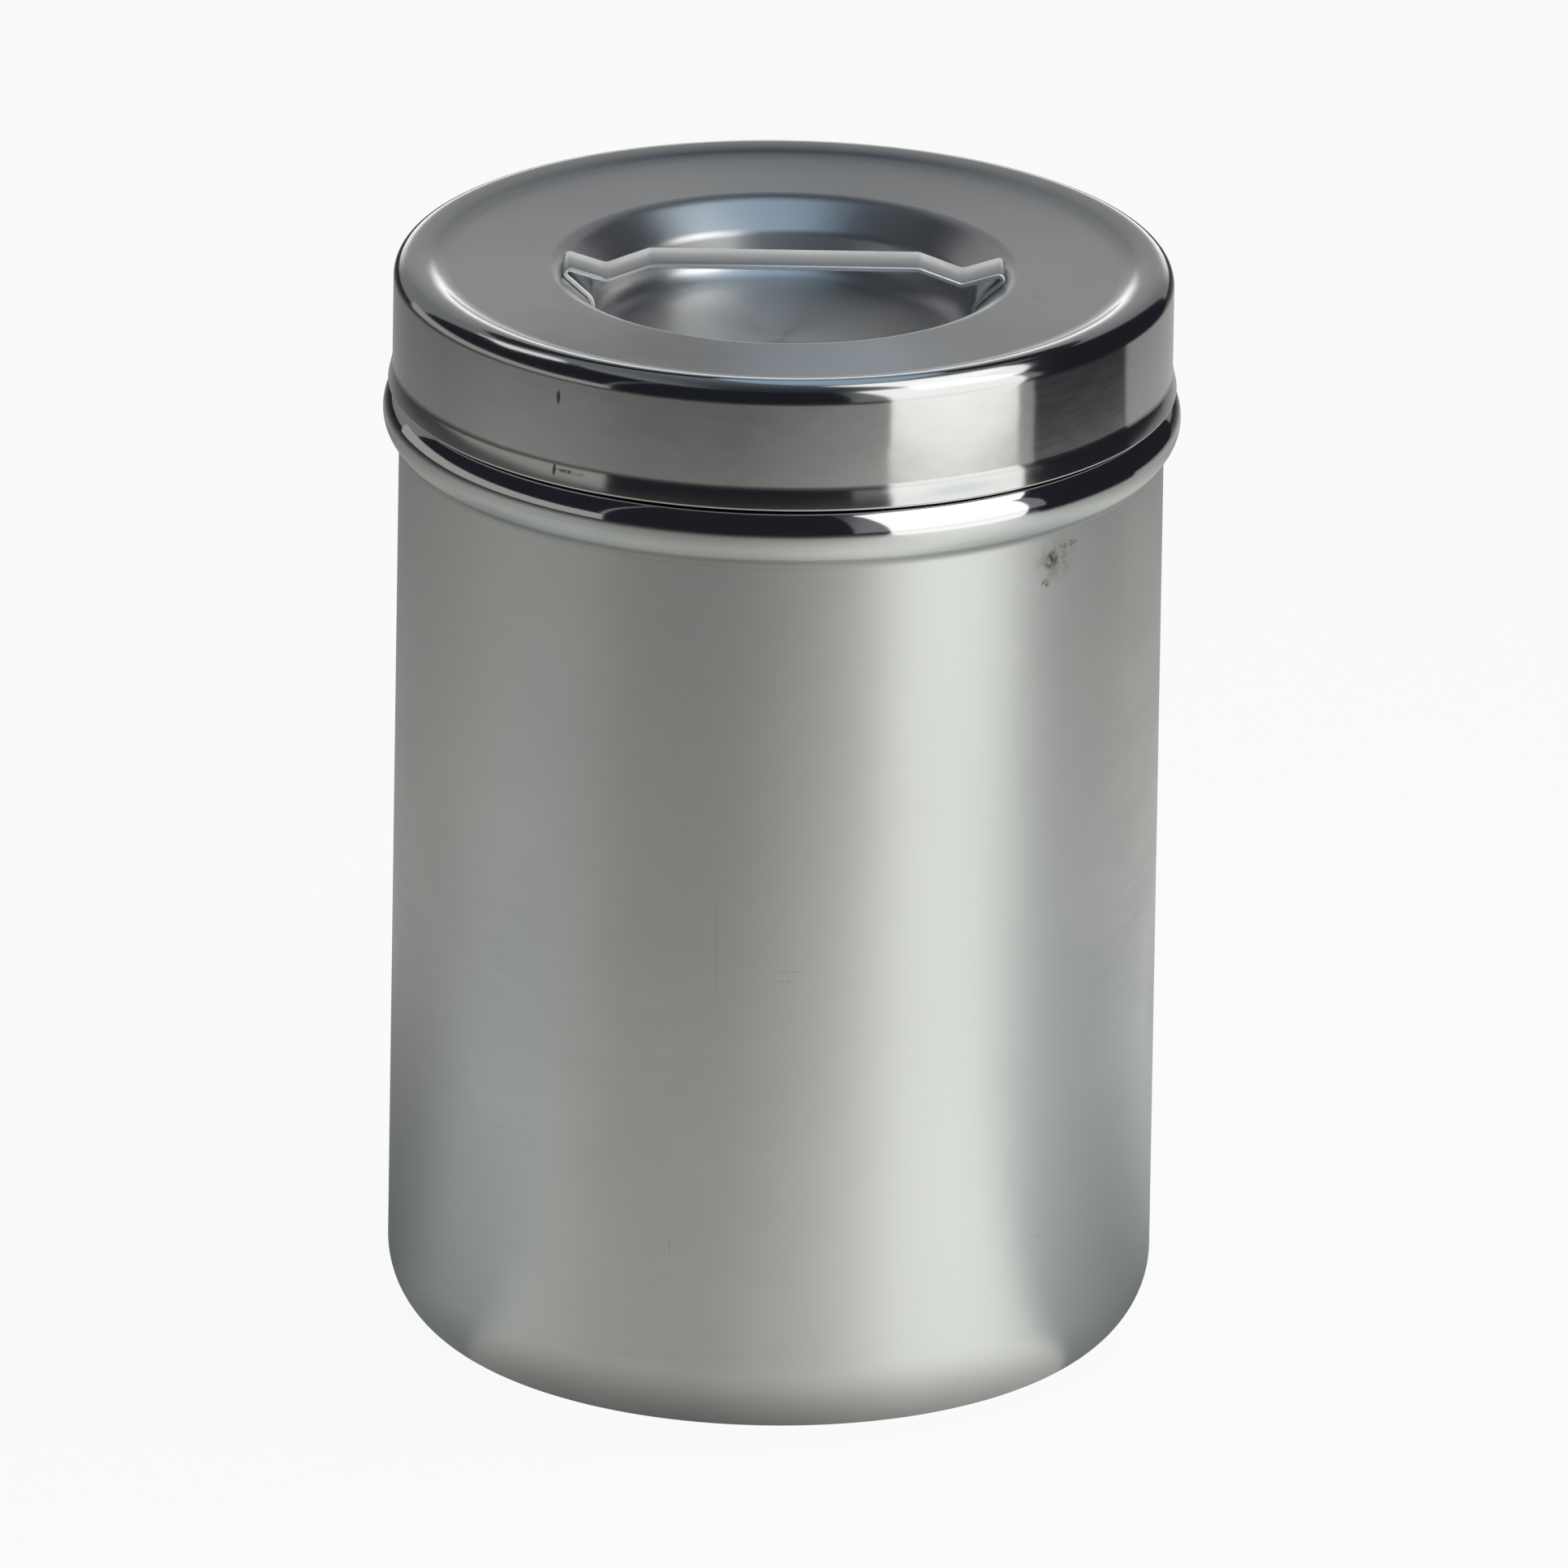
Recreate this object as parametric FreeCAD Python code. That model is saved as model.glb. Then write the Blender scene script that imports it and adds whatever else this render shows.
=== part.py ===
import FreeCAD, Part
import os
from math import acos, asin, atan2, cos, degrees, hypot, radians, sin, sqrt, tan

# Stainless steel dressing jar: a deep-drawn cup, a slip-over lid and a strap handle welded in the
# lid's well. Millimetres, +Z up. The origin is the middle of the base and the strap runs along X.
# Every pressing is a run of straights and tangent arcs in the X-Z plane, drawn along one face.

# Jar, measured outside
jar_diameter = 130.0
jar_height = 184.0
jar_sheet = 0.8
base_corner_radius = 15.5

# Bead that stops the lid
neck_length = 19.3          # from the jar's rim down to the middle of the bead
bead_bulge = 2.8            # how far the bead stands out of the wall
bead_crown_radius = 6.0
bead_blend_radius = 2.0

# Lid, measured on its upper and outer face
lid_sheet = 0.8
lid_clearance = 0.5         # between the jar's neck and the inside of the skirt
lid_seat_gap = 0.2          # between the skirt's edge and the bead
rim_headroom = 7.6          # from the jar's rim up to the crest of the lid
lid_corner_radius = 3.6
panel_drop = 1.4            # how far the flat panel lies below the crest
panel_blend_radius = 7.0

# Well in the lid: a shoulder, a sloping flare, a bend, a steep wall and a flat floor
well_mouth_radius = 40.2    # where the flat panel starts to turn down
well_shoulder_radius = 4.0
well_flare_slope = 42.0     # degrees from level
well_flare_length = 4.8
well_bend_radius = 2.5
well_wall_slope = 84.0
well_wall_length = 3.2
well_floor_radius = 4.0

# Strap handle
strap_width = 8.8
strap_sheet = 0.8
strap_rise = 0.4            # how far the flat middle stands above the lid's crest
strap_dip = 2.75            # from the flat middle down to the low bend
strap_ramp_run = 7.4        # level distance from the end of the flat middle to the low bend
strap_ear_run = 6.2         # level distance from the low bend to the middle of the folded end
strap_bend_radius = 2.0
strap_fold_radius = 0.3     # inside the folded end
strap_tail_length = 2.0     # straight end of the leg, on the wall of the well
strap_seat_gap = 0.05       # between the leg's side edges and the well


def straight(length):
    return length, 0.0, 0.0


def arc(radius, turn):
    """A tangent arc that turns left by a positive and right by a negative number of degrees."""
    return 0.0, radius, turn


def trace(start, heading, steps, offset=0.0):
    """Edges of a run in the X-Z plane, moved to its left by offset, with its last point and heading."""
    x = start[0] - offset * sin(radians(heading))
    z = start[1] + offset * cos(radians(heading))
    edges = []
    for length, radius, turn in steps:
        first = FreeCAD.Vector(x, 0, z)
        if radius:
            side = 1.0 if turn > 0 else -1.0
            bent = radius - side * offset
            centre_x = x - side * bent * sin(radians(heading))
            centre_z = z + side * bent * cos(radians(heading))
            points = []
            for part in (0.5, 1.0):
                aim = radians(heading + turn * part)
                points.append(FreeCAD.Vector(centre_x + side * bent * sin(aim), 0,
                                             centre_z - side * bent * cos(aim)))
            edges.append(Part.Arc(first, points[0], points[1]).toShape())
            x, z = points[1].x, points[1].z
            heading += turn
        else:
            x += length * cos(radians(heading))
            z += length * sin(radians(heading))
            edges.append(Part.LineSegment(first, FreeCAD.Vector(x, 0, z)).toShape())
    return edges, (x, z), heading


def sheet_face(start, heading, steps, right, left):
    """Section of a sheet that reaches right and left of a run, with its far edge rounded over."""
    near_edges, near_end, last = trace(start, heading, steps, -right)
    far_edges, far_end, last = trace(start, heading, steps, left)
    half = (right + left) / 2
    middle_x = (near_end[0] + far_end[0]) / 2 + half * cos(radians(last))
    middle_z = (near_end[1] + far_end[1]) / 2 + half * sin(radians(last))
    lip = Part.Arc(FreeCAD.Vector(near_end[0], 0, near_end[1]), FreeCAD.Vector(middle_x, 0, middle_z),
                   FreeCAD.Vector(far_end[0], 0, far_end[1])).toShape()
    close = Part.LineSegment(far_edges[0].firstVertex().Point, near_edges[0].firstVertex().Point).toShape()
    wire = Part.Wire(Part.__sortEdges__(near_edges + [lip] + far_edges + [close]))
    return Part.Face(wire)


def turned(face):
    return face.revolve(FreeCAD.Vector(0, 0, 0), FreeCAD.Vector(0, 0, 1), 360)


# Places that the pieces share
jar_radius = jar_diameter / 2
bead_height = jar_height - neck_length
bead_radii = bead_crown_radius + bead_blend_radius
bead_turn = degrees(acos(1 - bead_bulge / bead_radii))
bead_half_height = bead_radii * sin(radians(bead_turn))

crest_height = jar_height + rim_headroom
skirt_radius = jar_radius + lid_clearance + lid_sheet
crown_centre = jar_radius + bead_bulge - bead_crown_radius
seat_reach = bead_crown_radius + lid_seat_gap + lid_sheet / 2
seat_level = bead_height + sqrt(seat_reach ** 2 - (skirt_radius - lid_sheet / 2 - crown_centre) ** 2)

panel_level = crest_height - panel_drop
panel_turn = degrees(acos(1 - panel_drop / (2 * panel_blend_radius)))
panel_edge_radius = skirt_radius - lid_corner_radius - 2 * panel_blend_radius * sin(radians(panel_turn))

flare = radians(well_flare_slope)
wall = radians(well_wall_slope)
flare_start_radius = well_mouth_radius - well_shoulder_radius * sin(flare)
flare_start_level = panel_level - well_shoulder_radius * (1 - cos(flare))
flare_end_radius = flare_start_radius - well_flare_length * cos(flare)
flare_end_level = flare_start_level - well_flare_length * sin(flare)
wall_start_radius = flare_end_radius - well_bend_radius * (sin(wall) - sin(flare))
wall_start_level = flare_end_level - well_bend_radius * (cos(flare) - cos(wall))
wall_end_radius = wall_start_radius - well_wall_length * cos(wall)
floor_edge_radius = wall_end_radius - well_floor_radius * sin(wall)
floor_level = wall_start_level - well_wall_length * sin(wall) - well_floor_radius * (1 - cos(wall))


def make_jar():
    bead_start = bead_height - bead_half_height
    bead_end = bead_height + bead_half_height
    steps = [
        straight(jar_radius - base_corner_radius),
        arc(base_corner_radius, 90),
        straight(bead_start - base_corner_radius),
        arc(bead_blend_radius, -bead_turn),
        arc(bead_crown_radius, 2 * bead_turn),
        arc(bead_blend_radius, -bead_turn),
        straight(jar_height - jar_sheet / 2 - bead_end),
    ]
    return turned(sheet_face((0, 0), 0, steps, 0, jar_sheet))


def make_lid():
    corner_level = crest_height - lid_corner_radius
    steps = [
        straight(floor_edge_radius),
        arc(well_floor_radius, well_wall_slope),
        straight(well_wall_length),
        arc(well_bend_radius, well_flare_slope - well_wall_slope),
        straight(well_flare_length),
        arc(well_shoulder_radius, -well_flare_slope),
        straight(panel_edge_radius - well_mouth_radius),
        arc(panel_blend_radius, panel_turn),
        arc(panel_blend_radius, -panel_turn),
        arc(lid_corner_radius, -90),
        straight(corner_level - seat_level),
    ]
    return turned(sheet_face((0, floor_level), 0, steps, lid_sheet, 0))


def strap_steps():
    """One half of the strap's middle line, from the centre of the lid to the end of a welded leg."""
    fold = strap_fold_radius + strap_sheet / 2
    leg_lift = strap_seat_gap + strap_sheet / 2
    # The flat leg touches the round well with its side edges, so it stands off by the wall's rise.
    stand_off = wall_end_radius - sqrt(wall_end_radius ** 2 - (strap_width / 2) ** 2)
    # The fold stands over the top of the flare, and the leg runs down the flare, the bend and the wall.
    fold_x = flare_start_radius - stand_off - (leg_lift + fold) * sin(flare)
    fold_z = flare_start_level + (leg_lift + fold) * cos(flare)

    middle_z = crest_height + strap_rise - strap_sheet / 2
    low_x = fold_x - strap_ear_run
    low_z = middle_z - strap_dip
    corner_x = low_x - strap_ramp_run
    ramp = degrees(atan2(strap_dip, strap_ramp_run))
    ear_length = hypot(fold_x - low_x, fold_z - low_z)
    ear = degrees(atan2(fold_z - low_z, fold_x - low_x) + asin(fold / ear_length))

    corner_cut = strap_bend_radius * tan(radians(ramp / 2))
    low_cut = strap_bend_radius * tan(radians((ramp + ear) / 2))
    steps = [
        straight(corner_x - corner_cut),
        arc(strap_bend_radius, -ramp),
        straight(hypot(strap_dip, strap_ramp_run) - corner_cut - low_cut),
        arc(strap_bend_radius, ramp + ear),
        straight(sqrt(ear_length ** 2 - fold ** 2) - low_cut),
        arc(fold, well_flare_slope - ear - 180),
        straight(well_flare_length),
        arc(well_bend_radius + leg_lift, well_wall_slope - well_flare_slope),
        straight(strap_tail_length),
    ]
    return (0, middle_z), steps


def make_strap():
    start, steps = strap_steps()
    half_sheet = strap_sheet / 2
    half = sheet_face(start, 0, steps, half_sheet, half_sheet)
    half.translate(FreeCAD.Vector(0, -strap_width / 2, 0))
    half = half.extrude(FreeCAD.Vector(0, strap_width, 0))
    other = half.mirror(FreeCAD.Vector(0, 0, 0), FreeCAD.Vector(1, 0, 0))
    return half.fuse(other).removeSplitter()


def export(shape, node):
    print(node, "volume %.0f mm3" % shape.Volume, "valid", shape.isValid(), "solids", len(shape.Solids))
    shape.exportStep("parts/" + node + ".step")


os.makedirs("parts", exist_ok=True)
export(make_jar(), "jar")
export(make_lid(), "lid")
export(make_strap(), "strap_handle")
print("crest %.2f, skirt edge %.2f, well floor %.2f, panel edge radius %.2f"
      % (crest_height, seat_level - lid_sheet / 2, floor_level, panel_edge_radius))
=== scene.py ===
import math

import bmesh
import bpy
from mathutils import Matrix, Vector


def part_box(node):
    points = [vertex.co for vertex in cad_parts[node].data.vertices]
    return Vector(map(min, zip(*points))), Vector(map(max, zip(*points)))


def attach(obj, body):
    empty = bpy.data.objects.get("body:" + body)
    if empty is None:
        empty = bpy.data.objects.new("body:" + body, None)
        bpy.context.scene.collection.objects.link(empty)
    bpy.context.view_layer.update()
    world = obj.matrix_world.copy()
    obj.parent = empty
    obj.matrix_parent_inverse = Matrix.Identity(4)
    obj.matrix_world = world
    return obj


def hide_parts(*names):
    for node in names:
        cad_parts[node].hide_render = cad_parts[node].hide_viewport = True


# Looks of a steel dressing jar. Shapes are drawn in millimetres and scaled to metres at the end.
mm = 0.001
weldGap = 0.0005    # points nearer than this are one, in millimetres
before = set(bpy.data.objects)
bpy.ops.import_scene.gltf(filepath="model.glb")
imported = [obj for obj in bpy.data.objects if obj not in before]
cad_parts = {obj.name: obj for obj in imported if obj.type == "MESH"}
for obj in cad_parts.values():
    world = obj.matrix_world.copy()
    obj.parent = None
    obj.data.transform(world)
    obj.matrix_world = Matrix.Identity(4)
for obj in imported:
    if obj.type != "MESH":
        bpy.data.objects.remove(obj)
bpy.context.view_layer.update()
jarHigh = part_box("jar")[1]
lidLow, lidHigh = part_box("lid")
print("frame loaded:", len(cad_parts), "nodes")


# Profiles are walks in the X-Z plane. A step is (length, radius, turn, cuts): a straight has a
# length, and an arc has a radius, a turn in degrees, left being positive, and its count of cuts.
def straight(length):
    return length, 0, 0, 0


def arc(radius, turn, cuts):
    return 0, radius, turn, cuts


def walkProfile(bm, start, heading, steps):
    tip = bmesh.ops.create_vert(bm, co=(start[0], 0, start[1]))["vert"][0]
    for length, radius, turn, cuts in steps:
        ahead = Vector((math.cos(math.radians(heading)), 0, math.sin(math.radians(heading))))
        if radius:
            left = Vector((-ahead.z, 0, ahead.x))
            centre = tip.co + left * math.copysign(radius, turn)
            bend = bmesh.ops.spin(bm, geom=[tip], cent=centre, axis=(0, -1, 0),
                                  angle=math.radians(turn), steps=cuts)
            tip = [v for v in bend["geom_last"] if isinstance(v, bmesh.types.BMVert)][0]
            heading += turn
        else:
            tip = bmesh.ops.extrude_vert_indiv(bm, verts=[tip])["verts"][0]
            bmesh.ops.translate(bm, verts=[tip], vec=ahead * length)
    return tip


# The way back along a sheet's other face: side is 1 where the sheet lies left of the first walk
def aroundSheet(steps, sheet, side, lipCuts=8):
    back = [(length, radius - side * math.copysign(sheet, turn) if radius else 0, -turn, cuts)
            for length, radius, turn, cuts in reversed(steps)]
    return steps + [arc(sheet / 2, side * 180, lipCuts)] + back


def spinShell(name, start, heading, steps, turns):
    bm = bmesh.new()
    walkProfile(bm, start, heading, steps)
    bmesh.ops.spin(bm, geom=bm.verts[:] + bm.edges[:], cent=(0, 0, 0), axis=(0, 0, 1),
                   angle=math.tau, steps=turns, use_merge=True)
    return finishMesh(name, bm)


def addObject(name, bm):
    mesh = bpy.data.meshes.new(name)
    bm.to_mesh(mesh)
    bm.free()
    made = bpy.data.objects.new(name, mesh)
    bpy.context.scene.collection.objects.link(made)
    return made


def finishMesh(name, bm):
    bmesh.ops.remove_doubles(bm, verts=bm.verts[:], dist=weldGap)
    bmesh.ops.recalc_face_normals(bm, faces=bm.faces[:])
    bmesh.ops.scale(bm, vec=(mm, mm, mm), verts=bm.verts[:])
    piece = addObject(name, bm)
    piece.data.shade_smooth()
    return piece


# Jar: deep-drawn cup with a bead under its neck
jar = {
    "sheet": 0.8, "radius": 65.0, "height": jarHigh.z / mm,
    "corner": 15.5, "neck": 19.3, "bulge": 2.8, "crown": 6.0, "blend": 2.0,
    "cornerCuts": 20, "crownCuts": 24, "blendCuts": 12, "turns": 256,
}


def makeJar():
    beadTurn = math.degrees(math.acos(1 - jar["bulge"] / (jar["crown"] + jar["blend"])))
    beadHalf = (jar["crown"] + jar["blend"]) * math.sin(math.radians(beadTurn))
    beadLevel = jar["height"] - jar["neck"]
    steps = [
        straight(jar["radius"] - jar["corner"]),
        arc(jar["corner"], 90, jar["cornerCuts"]),
        straight(beadLevel - beadHalf - jar["corner"]),
        arc(jar["blend"], -beadTurn, jar["blendCuts"]),
        arc(jar["crown"], 2 * beadTurn, jar["crownCuts"]),
        arc(jar["blend"], -beadTurn, jar["blendCuts"]),
        straight(jar["neck"] - beadHalf - jar["sheet"] / 2),
    ]
    return spinShell("jarShell", (0, 0), 0, aroundSheet(steps, jar["sheet"], 1), jar["turns"])


# Lid: skirt with a lip turned out at its edge, corner, raised rim, sunken panel, and the well with its
# shoulder, flare, bend and wall
lid = {
    "sheet": 0.8, "skirtRadius": 66.3, "crest": lidHigh.z / mm, "edge": lidLow.z / mm,
    "corner": 3.6, "panelDrop": 1.4, "rimBlend": 7.0, "lipFlare": 12.0, "lipBend": 6.0, "lipRun": 2.7,
    "mouth": 40.2, "shoulder": 4.0, "flareSlope": 42.0, "flare": 4.8, "bend": 2.5,
    "wallSlope": 84.0, "wall": 3.2, "floorCorner": 4.0,
    "cornerCuts": 20, "blendCuts": 8, "shoulderCuts": 16, "bendCuts": 10, "floorCuts": 14, "turns": 288,
}
flareTurn = math.radians(lid["flareSlope"])
wallTurn = math.radians(lid["wallSlope"])
panelLevel = lid["crest"] - lid["panelDrop"]
flareTop = (lid["mouth"] - lid["shoulder"] * math.sin(flareTurn),
            panelLevel - lid["shoulder"] * (1 - math.cos(flareTurn)))
wallTop = (flareTop[0] - lid["flare"] * math.cos(flareTurn)
           - lid["bend"] * (math.sin(wallTurn) - math.sin(flareTurn)),
           flareTop[1] - lid["flare"] * math.sin(flareTurn)
           - lid["bend"] * (math.cos(flareTurn) - math.cos(wallTurn)))
wallEnd = wallTop[0] - lid["wall"] * math.cos(wallTurn)


def makeLid():
    lipDrop = lid["lipBend"] * math.radians(lid["lipFlare"]) + lid["lipRun"]
    floorEdge = wallEnd - lid["floorCorner"] * math.sin(wallTurn)
    floorLevel = (wallTop[1] - lid["wall"] * math.sin(wallTurn)
                  - lid["floorCorner"] * (1 - math.cos(wallTurn)))
    rimTurn = math.degrees(math.acos(1 - lid["panelDrop"] / (2 * lid["rimBlend"])))
    rimRun = 2 * lid["rimBlend"] * math.sin(math.radians(rimTurn))
    panelEdge = lid["skirtRadius"] - lid["corner"] - rimRun
    steps = [
        straight(floorEdge),
        arc(lid["floorCorner"], lid["wallSlope"], lid["floorCuts"]),
        straight(lid["wall"]),
        arc(lid["bend"], lid["flareSlope"] - lid["wallSlope"], lid["bendCuts"]),
        straight(lid["flare"]),
        arc(lid["shoulder"], -lid["flareSlope"], lid["shoulderCuts"]),
        straight(panelEdge - lid["mouth"]),
        arc(lid["rimBlend"], rimTurn, lid["blendCuts"]),
        arc(lid["rimBlend"], -rimTurn, lid["blendCuts"]),
        arc(lid["corner"], -90, lid["cornerCuts"]),
        straight(lid["crest"] - lid["corner"] - lid["edge"] - lid["sheet"] / 2 - lipDrop),
        arc(lid["lipBend"], lid["lipFlare"], lid["blendCuts"]),
        straight(lid["lipRun"]),
    ]
    return spinShell("lidShell", (0, floorLevel), 0, aroundSheet(steps, lid["sheet"], -1), lid["turns"])


# Strap: flat middle, dip, folded end, and a leg down the well's flare and wall
strap = {
    "width": 8.8, "sheet": 0.8, "rise": 0.4, "dip": 2.75, "rampRun": 7.4, "earRun": 6.2, "bend": 2.0,
    "fold": 0.3, "tail": 2.0, "seatGap": 0.05, "edgeRound": 0.22,
    "bendCuts": 8, "foldCuts": 16, "legCuts": 10, "edgeCuts": 3,
}


def strapSteps():
    half = strap["sheet"] / 2
    standOff = wallEnd - math.sqrt(wallEnd ** 2 - (strap["width"] / 2) ** 2)
    fold = strap["fold"] + half
    legLift = strap["seatGap"] + half
    foldX = flareTop[0] - standOff - (legLift + fold) * math.sin(flareTurn)
    foldZ = flareTop[1] + (legLift + fold) * math.cos(flareTurn)
    lowX = foldX - strap["earRun"]
    lowZ = lid["crest"] + strap["rise"] - half - strap["dip"]
    ramp = math.atan2(strap["dip"], strap["rampRun"])
    reach = math.hypot(foldX - lowX, foldZ - lowZ)
    ear = math.atan2(foldZ - lowZ, foldX - lowX) + math.asin(fold / reach)
    cornerCut = strap["bend"] * math.tan(ramp / 2)
    lowCut = strap["bend"] * math.tan((ramp + ear) / 2)
    # Walked along the top face, half a sheet left of the middle line
    return [
        straight(lowX - strap["rampRun"] - cornerCut),
        arc(strap["bend"] + half, -math.degrees(ramp), strap["bendCuts"]),
        straight(math.hypot(strap["dip"], strap["rampRun"]) - cornerCut - lowCut),
        arc(strap["bend"] - half, math.degrees(ramp + ear), strap["bendCuts"]),
        straight(math.sqrt(reach ** 2 - fold ** 2) - lowCut),
        arc(fold + half, lid["flareSlope"] - math.degrees(ear) - 180, strap["foldCuts"]),
        straight(lid["flare"]),
        arc(lid["bend"] + legLift - half, lid["wallSlope"] - lid["flareSlope"], strap["legCuts"]),
        straight(strap["tail"]),
    ]


def makeStrap():
    bm = bmesh.new()
    steps = aroundSheet(strapSteps(), strap["sheet"], -1)
    walkProfile(bm, (0, lid["crest"] + strap["rise"]), 0, steps)
    bmesh.ops.mirror(bm, geom=bm.verts[:] + bm.edges[:], merge_dist=2 * weldGap, axis="X")
    bmesh.ops.translate(bm, verts=bm.verts[:], vec=(0, -strap["width"] / 2, 0))
    bmesh.ops.contextual_create(bm, geom=bm.edges[:])
    side = bmesh.ops.extrude_face_region(bm, geom=bm.faces[:])["geom"]
    bmesh.ops.translate(bm, verts=[v for v in side if isinstance(v, bmesh.types.BMVert)],
                        vec=(0, strap["width"], 0))
    rims = [e for e in bm.edges if abs(e.verts[0].co.y - e.verts[1].co.y) < strap["edgeRound"]]
    bmesh.ops.bevel(bm, geom=rims, offset=strap["edgeRound"], offset_type="OFFSET",
                    segments=strap["edgeCuts"], profile=0.5, affect="EDGES", material=-1,
                    clamp_overlap=True)
    ngons = [f for f in bm.faces if len(f.verts) > 4]
    bmesh.ops.triangulate(bm, faces=ngons)
    return finishMesh("strapHandle", bm)


jarShell = makeJar()
lidShell = makeLid()
strapHandle = makeStrap()
print("pieces made:", [len(o.data.polygons) for o in (jarShell, lidShell, strapHandle)], "faces")


# Small helpers for node trees: values may be numbers, colours or sockets
def newMaterial(name, kind="ShaderNodeBsdfPrincipled"):
    material = bpy.data.materials.new(name)
    material.use_nodes = True
    nodes = material.node_tree.nodes
    nodes.clear()
    out = nodes.new("ShaderNodeOutputMaterial")
    shader = nodes.new(kind)
    material.node_tree.links.new(shader.outputs[0], out.inputs["Surface"])
    return material, shader


def feed(tree, socket, value):
    if isinstance(value, bpy.types.NodeSocket):
        tree.links.new(value, socket)
    else:
        socket.default_value = value


def calc(tree, operation, *values):
    node = tree.nodes.new("ShaderNodeMath")
    node.operation = operation
    for socket, value in zip(node.inputs, values):
        feed(tree, socket, value)
    return node.outputs[0]


# Fades from 0 to 1 between two values of an input, or from one value to another
def fade(tree, value, start, end, low=0.0, high=1.0, kind="SMOOTHSTEP"):
    node = tree.nodes.new("ShaderNodeMapRange")
    node.interpolation_type = kind
    feed(tree, node.inputs["Value"], value)
    node.inputs["From Min"].default_value = start
    node.inputs["From Max"].default_value = end
    node.inputs["To Min"].default_value = low
    node.inputs["To Max"].default_value = high
    return node.outputs["Result"]


def mixColour(tree, share, first, second, kind="MIX"):
    node = tree.nodes.new("ShaderNodeMix")
    node.data_type = "RGBA"
    node.blend_type = kind
    feed(tree, node.inputs["Factor"], share)
    feed(tree, node.inputs["A"], first)
    feed(tree, node.inputs["B"], second)
    return [s for s in node.outputs if s.type == "RGBA"][0]


def mixNumber(tree, share, first, second):
    node = tree.nodes.new("ShaderNodeMix")
    feed(tree, node.inputs["Factor"], share)
    feed(tree, node.inputs["A"], first)
    feed(tree, node.inputs["B"], second)
    return node.outputs[0]


def grey(level):
    return (level, level, level, 1)


# Steel turned on a lathe: its lines run round the axis, fine along the profile and long round it.
# Spans are (least, most), and bumps are (strength, metres).
steel = {
    "lineDensity": 2600.0, "lineRound": 5.0, "lineDetail": 3, "smudgeDensity": 42.0, "smudgeDetail": 3,
    "waveDensity": 95.0, "waveDetail": 2, "noiseSpan": (0.3, 0.7), "grainSpan": (0.38, 0.56),
    "toneByLine": (0.985, 1.012), "toneBySmudge": (-0.02, 0.02),
    "roughByLine": (0.93, 1.07), "roughBySmudge": (-0.08, 0.08),
    "waveBump": (0.5, 0.0001), "lineBump": (0.15, 0.000006),
    "jarStretch": 0.62, "lidStretch": 0.75, "strapStretch": 0.3, "stretchTurn": 0.25,
}
# Colour and roughness of each zone. The skirt's colour is darker than the jar's wall of the same steel:
# painted shade
finishAndPaintedLight = {
    "satin": {"colour": (0.555, 0.572, 0.545, 1), "rough": 0.41},
    "skirt": {"colour": (0.47, 0.475, 0.46, 1), "rough": 0.13},
    "bead": {"colour": (0.55, 0.55, 0.55, 1), "rough": 0.07},
    "panel": {"colour": (0.45, 0.457, 0.457, 1), "rough": 0.30},
    "well": {"colour": (0.64, 0.64, 0.63, 1), "rough": 0.36},
    "strap": {"colour": (0.54, 0.545, 0.54, 1), "rough": 0.3},
    # Painted shade for the crease under the bead, darker and rougher
    "footShade": {"colour": (0.33, 0.335, 0.32, 1), "rough": 0.45},
    # Painted highlight: the strap's long edges are near white, so they show as a bright line
    "edgeHighlight": {"colour": (0.95, 0.955, 0.96, 1), "rough": 0.5},
}


def objectCoords(tree):
    coords = tree.nodes.new("ShaderNodeTexCoord").outputs["Object"]
    split = tree.nodes.new("ShaderNodeSeparateXYZ")
    tree.links.new(coords, split.inputs[0])
    x, y, z = split.outputs
    squared = calc(tree, "ADD", calc(tree, "MULTIPLY", x, x), calc(tree, "MULTIPLY", y, y))
    radius = calc(tree, "SQRT", calc(tree, "MAXIMUM", squared, 1e-8))    # never 0, so it can divide
    return coords, x, y, z, radius


def turnedLines(tree, x, y, z, radius):
    around = tree.nodes.new("ShaderNodeCombineXYZ")
    tree.links.new(calc(tree, "DIVIDE", x, radius), around.inputs[0])
    tree.links.new(calc(tree, "DIVIDE", y, radius), around.inputs[1])
    noise = tree.nodes.new("ShaderNodeTexNoise")
    noise.noise_dimensions = "4D"
    tree.links.new(around.outputs[0], noise.inputs["Vector"])
    along = calc(tree, "MULTIPLY", calc(tree, "ADD", radius, z), steel["lineDensity"] / steel["lineRound"])
    tree.links.new(along, noise.inputs["W"])
    noise.inputs["Scale"].default_value = steel["lineRound"]
    noise.inputs["Detail"].default_value = steel["lineDetail"]
    return noise.outputs["Fac"]


def cloudNoise(tree, coords, density, detail):
    noise = tree.nodes.new("ShaderNodeTexNoise")
    tree.links.new(coords, noise.inputs["Vector"])
    noise.inputs["Scale"].default_value = density
    noise.inputs["Detail"].default_value = detail
    return noise.outputs["Fac"]


def uneven(tree, lines, smudge, byLine, bySmudge):
    return calc(tree, "ADD", fade(tree, lines, *steel["noiseSpan"], *byLine, "LINEAR"),
                fade(tree, smudge, *steel["noiseSpan"], *bySmudge, "LINEAR"))


def addBump(tree, height, strength, distance):
    bump = tree.nodes.new("ShaderNodeBump")
    bump.inputs["Strength"].default_value = strength
    bump.inputs["Distance"].default_value = distance
    tree.links.new(height, bump.inputs["Height"])
    return bump
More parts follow.
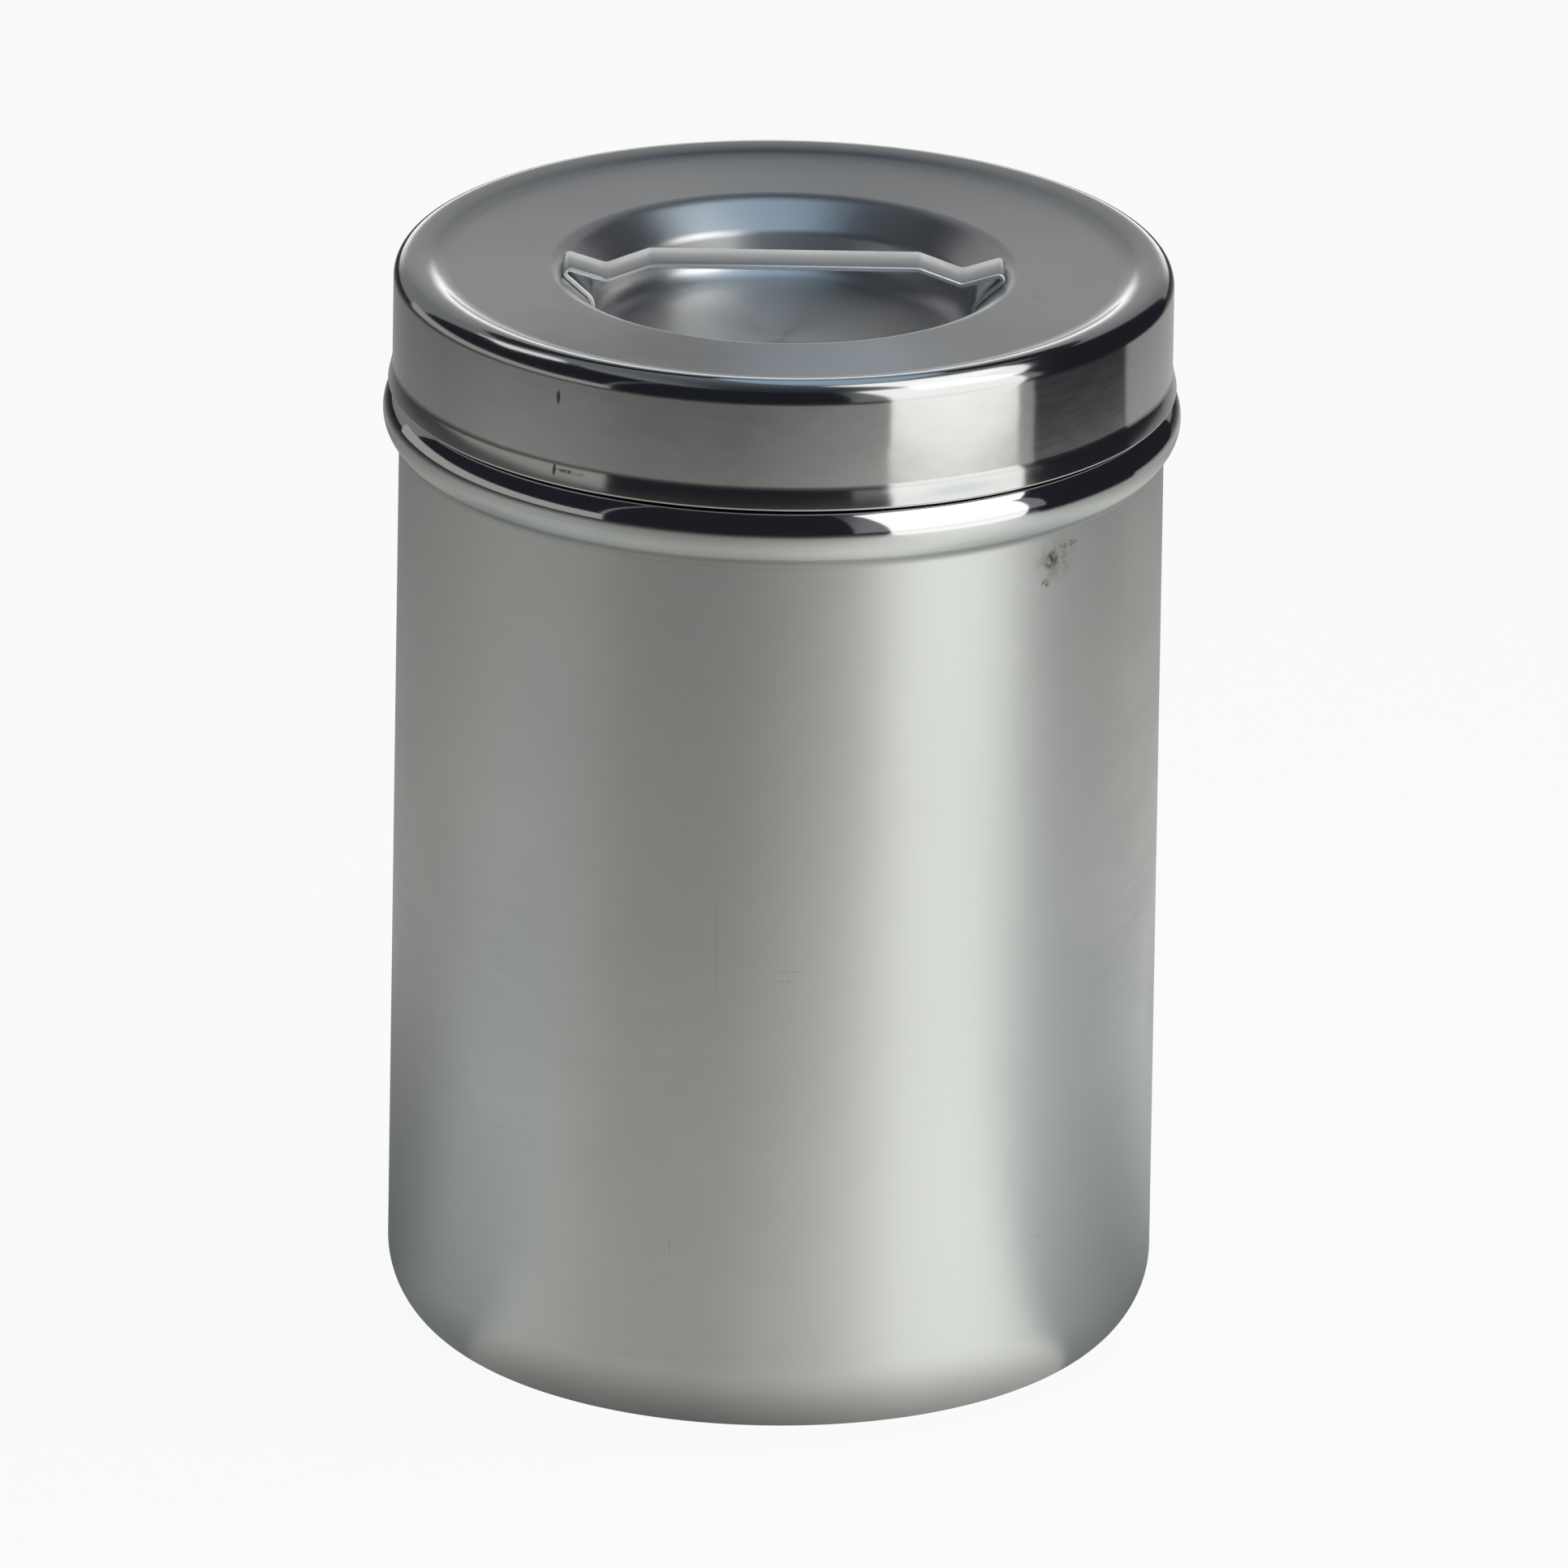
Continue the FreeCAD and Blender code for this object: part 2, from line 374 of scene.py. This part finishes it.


# A worn or marked spot, also a spot of painted reflection: an ellipsoid round a point, in millimetres,
# turned with the wall
def spot(tree, coords, place, half, soft, grain):
    mapping = tree.nodes.new("ShaderNodeMapping")
    mapping.vector_type = "TEXTURE"
    tree.links.new(coords, mapping.inputs["Vector"])
    mapping.inputs["Location"].default_value = [v * mm for v in place]
    mapping.inputs["Rotation"].default_value = (0, 0, math.atan2(place[0], -place[1]))
    mapping.inputs["Scale"].default_value = [v * mm for v in half]
    length = tree.nodes.new("ShaderNodeVectorMath")
    length.operation = "LENGTH"
    tree.links.new(mapping.outputs[0], length.inputs[0])
    mask = fade(tree, length.outputs["Value"], 1.0, 1.0 - soft)
    if grain:
        broken = fade(tree, cloudNoise(tree, coords, grain, steel["smudgeDetail"]), *steel["grainSpan"])
        mask = calc(tree, "MULTIPLY", mask, broken)
    return mask


def steelMaterial(name, first, zones, stretch, marksAndSheen=()):
    material, shader = newMaterial(name)
    tree = material.node_tree
    coords, x, y, z, radius = objectCoords(tree)
    lines = turnedLines(tree, x, y, z, radius)
    smudge = cloudNoise(tree, coords, steel["smudgeDensity"], steel["smudgeDetail"])
    wave = cloudNoise(tree, coords, steel["waveDensity"], steel["waveDetail"])
    colour, roughness = first["colour"], first["rough"]
    for zone, look in zones:
        share = zone(tree, y, z, radius)
        colour = mixColour(tree, share, colour, look["colour"])
        roughness = mixNumber(tree, share, roughness, look["rough"])
    tone = uneven(tree, lines, smudge, steel["toneByLine"], steel["toneBySmudge"])
    colour = mixColour(tree, 1.0, colour, tone, "MULTIPLY")
    wear = uneven(tree, lines, smudge, steel["roughByLine"], steel["roughBySmudge"])
    roughness = calc(tree, "MULTIPLY", roughness, wear)
    for place, half, soft, grain, tint, change in marksAndSheen:
        spotMask = spot(tree, coords, place, half, soft, grain)
        colour = mixColour(tree, spotMask, colour, (*tint, 1), "MULTIPLY")
        roughness = calc(tree, "ADD", roughness, calc(tree, "MULTIPLY", spotMask, change))
    tree.links.new(colour, shader.inputs["Base Color"])
    tree.links.new(roughness, shader.inputs["Roughness"])
    shader.inputs["Metallic"].default_value = 1.0
    shader.inputs["Anisotropic"].default_value = stretch
    shader.inputs["Anisotropic Rotation"].default_value = steel["stretchTurn"]
    tangent = tree.nodes.new("ShaderNodeTangent")
    tangent.direction_type = "RADIAL"
    tangent.axis = "Z"
    tree.links.new(tangent.outputs["Tangent"], shader.inputs["Tangent"])
    waves = addBump(tree, wave, *steel["waveBump"])
    scores = addBump(tree, lines, *steel["lineBump"])
    tree.links.new(waves.outputs["Normal"], scores.inputs["Normal"])
    tree.links.new(scores.outputs["Normal"], shader.inputs["Normal"])
    return material


# Where each zone of finish and of painted shade starts, and half the width of its soft edge, in
# millimetres
zoneFrom = {
    "bead": jar["height"] - jar["neck"], "rim": 58.5, "well": 38.5, "soft": 0.8,
    "strapSide": 4.1, "strapSoft": 0.1,
    "footShadeDrop": 5.1, "footShadeFade": (1.3, 0.1), "footShadeOutside": (64.6, 64.8),
}


def softEdge(tree, value, middle, half):
    return fade(tree, value, (middle - half) * mm, (middle + half) * mm)


def beadZone(tree, y, z, radius):
    return softEdge(tree, z, zoneFrom["bead"], zoneFrom["soft"])


def skirtZone(tree, y, z, radius):
    return softEdge(tree, radius, zoneFrom["rim"], zoneFrom["soft"])


def wellZone(tree, y, z, radius):
    return softEdge(tree, radius, zoneFrom["well"], -zoneFrom["soft"])


# The strap's long edges, which carry a painted highlight
def strapSides(tree, y, z, radius):
    return softEdge(tree, calc(tree, "ABSOLUTE", y), zoneFrom["strapSide"], zoneFrom["strapSoft"])


# A thin ring of painted shade, rougher too, where the bead's foot runs into the wall, on the outside only
def beadFootShade(tree, y, z, radius):
    middle = (zoneFrom["bead"] - zoneFrom["footShadeDrop"]) * mm
    away = calc(tree, "ABSOLUTE", calc(tree, "SUBTRACT", z, middle))
    ring = fade(tree, away, *[v * mm for v in zoneFrom["footShadeFade"]])
    outside = fade(tree, radius, *[v * mm for v in zoneFrom["footShadeOutside"]])
    return calc(tree, "MULTIPLY", ring, outside)


# Marks of use, and on the lid one spot of painted reflection, all on outer faces: place and half sizes
# (round, in, up) in millimetres, softness, density of the noise that breaks it up, tint, and what its
# roughness gains
jarMarks = [
    ((47.1, -45.8, 154.0), (8.5, 1.5, 5.5), 0.9, 0, (0.86, 0.86, 0.85), 0.03),
    ((47.1, -45.8, 154.0), (8.5, 1.5, 5.5), 0.9, 600, (0.52, 0.52, 0.50), 0.05),
    ((46.0, -45.9, 154.4), (2.2, 0.8, 2.2), 0.8, 1100, (0.3, 0.3, 0.29), 0.05),
    ((48.9, -42.8, 156.3), (3.0, 0.8, 0.8), 0.8, 1300, (0.45, 0.45, 0.43), 0.05),
    ((45.0, -46.9, 150.4), (1.4, 0.8, 1.1), 0.8, 1300, (0.4, 0.4, 0.38), 0.05),
    ((2.6, -64.9, 86.3), (2.7, 0.8, 0.2), 0.7, 1500, (0.7, 0.7, 0.68), 0),
    ((2.2, -64.9, 84.7), (2.4, 0.8, 0.18), 0.7, 1500, (0.76, 0.76, 0.74), 0),
    ((-9.7, -64.3, 90.5), (0.35, 0.8, 17.0), 0.9, 0, (0.92, 0.92, 0.91), 0),
    ((-16.8, -62.8, 35.9), (0.2, 0.8, 2.2), 0.8, 0, (0.84, 0.84, 0.83), 0),
    ((46.5, -45.4, 32.8), (4.5, 0.8, 0.16), 0.7, 1200, (0.85, 0.85, 0.83), 0),
]
lidMarksAndSheen = [
    ((-37.8, -54.5, 185.1), (0.5, 0.8, 1.6), 0.5, 0, (0.22, 0.22, 0.22), 0.1),
    ((-38.2, -54.2, 172.0), (0.45, 0.8, 1.5), 0.5, 0, (0.22, 0.22, 0.22), 0.1),
    ((-35.6, -55.9, 172.2), (3.6, 0.8, 0.45), 0.6, 500, (0.3, 0.29, 0.28), 0.1),
    ((-36.0, -55.7, 170.4), (2.1, 0.8, 0.5), 0.6, 0, (0.72, 0.55, 0.4), 0.1),
    ((-6.1, -66.8, 185.6), (11.0, 1.6, 1.3), 0.9, 260, (0.78, 0.78, 0.8), 0),
    # Painted reflection, not a mark of use: a bluish darkening where the skirt's white reflection fades at
    # its lower right
    ((30.4, -59.9, 171.8), (14.0, 1.6, 1.5), 0.9, 0, (0.8, 0.83, 0.88), 0.04),
]
jarSteel = steelMaterial("jarSteel", finishAndPaintedLight["satin"],
                         [(beadZone, finishAndPaintedLight["bead"]), (beadFootShade, finishAndPaintedLight["footShade"])],
                         steel["jarStretch"], jarMarks)
lidSteel = steelMaterial("lidSteel", finishAndPaintedLight["panel"],
                         [(skirtZone, finishAndPaintedLight["skirt"]), (wellZone, finishAndPaintedLight["well"])],
                         steel["lidStretch"], lidMarksAndSheen)
strapSteel = steelMaterial("strapSteel", finishAndPaintedLight["strap"], [(strapSides, finishAndPaintedLight["edgeHighlight"])],
                           steel["strapStretch"])
jarShell.data.materials.append(jarSteel)
lidShell.data.materials.append(lidSteel)
strapHandle.data.materials.append(strapSteel)

for piece, body, node, slotName in (
    (jarShell, "jar", "jar", "jar_steel"),
    (lidShell, "lid", "lid", "lid_steel"),
    (strapHandle, "lid", "strap_handle", "strap_steel"),
):
    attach(piece, body)
    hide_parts(node)
print("finishes set")


# Floor: pale, and white where the camera or the steel sees it, with the jar's shadow kept
floorLook = {"radius": 20.0, "sides": 64, "colour": grey(0.86), "rough": 0.9, "glow": 0.93}


def makeFloor():
    bm = bmesh.new()
    bmesh.ops.create_circle(bm, cap_ends=True, radius=floorLook["radius"], segments=floorLook["sides"])
    floor = addObject("floor", bm)
    material, shader = newMaterial("paleFloor")
    shader.inputs["Base Color"].default_value = floorLook["colour"]
    shader.inputs["Roughness"].default_value = floorLook["rough"]
    tree = material.node_tree
    rays = tree.nodes.new("ShaderNodeLightPath").outputs
    seen = calc(tree, "MAXIMUM", rays["Is Camera Ray"], rays["Is Glossy Ray"])
    seen = calc(tree, "MAXIMUM", seen, rays["Is Transmission Ray"])
    glow = tree.nodes.new("ShaderNodeEmission")
    glow.inputs["Color"].default_value = grey(1)
    mix = tree.nodes.new("ShaderNodeMixShader")
    tree.links.new(calc(tree, "MULTIPLY", seen, floorLook["glow"]), mix.inputs[0])
    tree.links.new(shader.outputs["BSDF"], mix.inputs[1])
    tree.links.new(glow.outputs["Emission"], mix.inputs[2])
    tree.links.new(mix.outputs["Shader"], tree.nodes["Material Output"].inputs["Surface"])
    floor.data.materials.append(material)


makeFloor()
print("floor laid")

# Cards that only the steel sees: an edge between two (radius, height) points in metres, swept round
# the jar. Angles are in degrees from the camera towards +X. Glow goes by (distance, level) and is
# dimmed by (angle, share), so that the sheet on the floor fades round the jar as a real one does.
cardMaking = {"reach": 2.0, "seam": 75.0, "boost": 2.0, "stepAngle": 4, "leastSteps": 4, "weld": 0.0001}


def flat(level, first=0, last=1):
    return (first, level), (last, level)


flag = {"glow": flat(0.022), "tint": (0.9, 1.0, 1.35)}
cards = {
    "floorSheet": {
        "ends": ((0.05, 0.001), (20, 0.001)), "turn": (-284, 76), "tint": (1.0, 1.0, 0.985),
        "glow": ((0.05, 0.10), (0.085, 0.82), (0.25, 0.76), (0.5, 0.48), (0.7, 0.26), (0.9, 0.12),
                 (1.6, 0.04)),
        "dim": ((-284, 1.3), (-243, 1.2), (-192, 1.1), (-186, 0.4), (-177, 0.4), (-172, 0.75),
                (-140, 0.66), (-112, 0.75), (-86, 0.98), (-60, 0.93), (-40, 0.78), (-12, 0.78),
                (8, 1.1), (28, 1.48), (50, 1.65), (75, 1.45)),
    },
    "backShadow": {
        "ends": ((0.05, 0.0014), (0.2, 0.0014)), "turn": (-300, -60), "tint": (0.94, 1.0, 1.05),
        "glow": ((0.05, 0.1), (0.09, 0.3), (0.13, 0.45), (0.2, 0.62)),
        "dim": ((-285, 1.4), (-276, 1.25), (-266, 1.0), (-255, 1.0), (-237, 1.3), (-220, 1.35),
                (-200, 0.85), (-180, 0.5), (-140, 0.42), (-120, 0.42), (-103, 0.6), (-88, 1.1),
                (-75, 1.3), (-60, 1.4), (60, 1.65), (75, 1.45)),
    },
    "rightFlag": {**flag, "ends": ((0.53, 0.002), (2.5, 0.002)), "turn": (76, 117)},
    "rightWall": {**flag, "ends": ((0.62, 0.04), (0.62, 1.1)), "turn": (77, 142)},
    "leftWall": {**flag, "ends": ((0.62, 0.27), (0.62, 1.2)), "turn": (-124, -50)},
    "leftLow": {"ends": ((1.3, 0.05), (1.3, 0.36)), "turn": (-135, -50), "glow": flat(0.5),
                "tint": (1.0, 1.0, 0.97)},
    "frontWall": {**flag, "ends": ((1.2, 0.1), (1.2, 2.2)), "turn": (-50, 20)},
    "topGlow": {"ends": ((0.0, 0.25), (0.046, 0.25)), "turn": (0, 360), "glow": flat(0.62),
                "tint": (0.74, 1.0, 1.3), "squeeze": 0.56, "shift": 0.011},
    "topShade": {"ends": ((0.0, 0.253), (0.085, 0.253)), "turn": (90, 270), "glow": flat(0.025),
                 "tint": (0.9, 1.0, 1.35)},
}


def fillRamp(tree, value, stops):
    ramp = tree.nodes.new("ShaderNodeValToRGB")
    feed(tree, ramp.inputs["Fac"], value)
    knots = ramp.color_ramp.elements
    knots[0].position, knots[0].color = stops[0][0], stops[0][1]
    knots[1].position, knots[1].color = stops[-1][0], stops[-1][1]
    for place, colour in stops[1:-1]:
        knots.new(place).color = colour
    return ramp.outputs["Color"]


def makeCard(name, spec):
    bm = bmesh.new()
    start = math.radians(spec["turn"][0])
    aim = Vector((math.sin(start), -math.cos(start), 0))
    ends = [bmesh.ops.create_vert(bm, co=aim * reach + Vector((0, 0, height)))["vert"][0]
            for reach, height in spec["ends"]]
    edge = bmesh.ops.contextual_create(bm, geom=ends)["edges"]
    sweep = spec["turn"][1] - spec["turn"][0]
    steps = max(cardMaking["leastSteps"], int(sweep / cardMaking["stepAngle"]))
    bmesh.ops.spin(bm, geom=ends + edge, cent=(0, 0, 0), axis=(0, 0, 1), angle=math.radians(sweep),
                   steps=steps, use_merge=sweep == 360)
    bmesh.ops.scale(bm, vec=(spec.get("squeeze", 1), 1, 1), verts=bm.verts[:])
    bmesh.ops.translate(bm, vec=(spec.get("shift", 0), 0, 0), verts=bm.verts[:])
    bmesh.ops.remove_doubles(bm, verts=bm.verts[:], dist=cardMaking["weld"])
    card = addObject(name, bm)
    material, glow = newMaterial(name, "ShaderNodeEmission")
    tree = material.node_tree
    coords, x, y, z, radius = objectCoords(tree)
    far, seam, boost = cardMaking["reach"], cardMaking["seam"], cardMaking["boost"]
    back = 360.0 - seam
    byReach = fillRamp(tree, calc(tree, "DIVIDE", radius, far),
                       [(place / far, grey(level)) for place, level in spec["glow"]])
    angle = calc(tree, "ARCTAN2", x, calc(tree, "MULTIPLY", y, -1.0))
    angle = calc(tree, "WRAP", calc(tree, "MULTIPLY", angle, 180 / math.pi), seam, -back)
    byAngle = fillRamp(tree, calc(tree, "DIVIDE", calc(tree, "ADD", angle, back), 360.0),
                       [((place + back) / 360, grey(share / boost))
                        for place, share in spec.get("dim", flat(1, -back, seam))])
    colour = mixColour(tree, 1.0, mixColour(tree, 1.0, byReach, byAngle, "MULTIPLY"),
                       (*spec["tint"], 1), "MULTIPLY")
    glow.inputs["Strength"].default_value = boost
    tree.links.new(colour, glow.inputs["Color"])
    card.data.materials.append(material)
    card.visible_camera = False
    card.visible_diffuse = False
    card.visible_shadow = False


for cardName, cardSpec in cards.items():
    makeCard(cardName, cardSpec)
print("cards set:", len(cards))

# World: an arched room. The ramp goes from the horizon behind the jar, over the top, to the camera's
# side, in degrees. To the left and right it gives way to one side colour.
room = {
    "arch": ((0, (1.9, 1.9, 1.9)), (6, (1.4, 1.4, 1.4)), (13, (0.46, 0.465, 0.47)),
             (24, (0.37, 0.38, 0.39)), (40, (0.32, 0.33, 0.35)), (60, (0.17, 0.2, 0.23)),
             (85, (0.09, 0.11, 0.14)), (105, (0.05, 0.055, 0.07)), (150, (0.035, 0.035, 0.04)),
             (180, (0.06, 0.06, 0.06))),
    "side": (0.27, 0.28, 0.295, 1), "sideFade": (0.15, 0.45),
}


def makeWorld():
    world = bpy.data.worlds.new("studio")
    bpy.context.scene.world = world
    world.use_nodes = True
    tree = world.node_tree
    split = tree.nodes.new("ShaderNodeSeparateXYZ")
    tree.links.new(tree.nodes.new("ShaderNodeTexCoord").outputs["Generated"], split.inputs[0])
    x, y, z = split.outputs
    over = calc(tree, "DIVIDE", calc(tree, "ARCTAN2", z, y), math.pi)
    arch = fillRamp(tree, over, [(angle / 180, (*colour, 1)) for angle, colour in room["arch"]])
    toSide = fade(tree, calc(tree, "ABSOLUTE", x), *room["sideFade"])
    tree.links.new(mixColour(tree, toSide, arch, room["side"]),
                   tree.nodes["Background"].inputs["Color"])


makeWorld()

# Lamps: azimuth is turned from the camera towards +X, reach is from the jar's axis, lean is how far
# the face looks down, and roll turns it in its own plane. Angles in degrees, the rest in metres.
lamps = {
    "keyBox": {"azimuth": 50.3, "reach": 0.53, "height": 0.42, "lean": 7, "roll": 0,
               "size": (0.42, 0.85), "glow": 1.55},
    "keyTop": {"azimuth": 79, "reach": 0.316, "height": 0.67, "lean": 55, "roll": -36,
               "size": (0.31, 0.58), "glow": 1.75},
    "leftStrip": {"azimuth": -118, "reach": 0.55, "height": 0.80, "lean": 46, "roll": 0,
                  "size": (0.2, 0.26), "glow": 1.3},
}


def makeLamp(name, spec):
    azimuth, lean = math.radians(spec["azimuth"]), math.radians(spec["lean"])
    outward = Vector((math.sin(azimuth), -math.cos(azimuth), 0))
    light = bpy.data.lights.new(name, "AREA")
    light.shape = "RECTANGLE"
    light.size, light.size_y = spec["size"]
    light.energy = spec["glow"] * math.pi * light.size * light.size_y
    lamp = bpy.data.objects.new(name, light)
    lamp.location = outward * spec["reach"] + Vector((0, 0, spec["height"]))
    back = outward * math.cos(lean) + Vector((0, 0, math.sin(lean)))
    turn = back.to_track_quat("Z", "Y").to_matrix() @ Matrix.Rotation(math.radians(spec["roll"]), 3, "Z")
    lamp.rotation_euler = turn.to_euler()
    lamp.visible_camera = False
    bpy.context.scene.collection.objects.link(lamp)


for lampName, lampSpec in lamps.items():
    makeLamp(lampName, lampSpec)
print("lamps set:", len(lamps))

# Camera: far off with a long lens, leaning a little, as the photo was taken
shot = {
    "away": 9.5, "aim": Vector((1.38, 0, 97.3)) * mm, "elevation": 19.36, "roll": 0.925,
    "lens": 1357.5, "sensor": 36, "clipEnd": 100,
}
cameraData = bpy.data.cameras.new("camera")
cameraData.lens = shot["lens"]
cameraData.sensor_width = shot["sensor"]
cameraData.clip_end = shot["clipEnd"]
camera = bpy.data.objects.new("camera", cameraData)
lift = math.radians(shot["elevation"])
camera.location = shot["aim"] + Vector((0, -shot["away"], shot["away"] * math.tan(lift)))
lookTurn = (shot["aim"] - camera.location).to_track_quat("-Z", "Y").to_matrix()
camera.rotation_euler = (lookTurn @ Matrix.Rotation(math.radians(shot["roll"]), 3, "Z")).to_euler()
bpy.context.scene.collection.objects.link(camera)
bpy.context.scene.camera = camera
bpy.context.scene.view_settings.view_transform = "Standard"

print("scene ready")
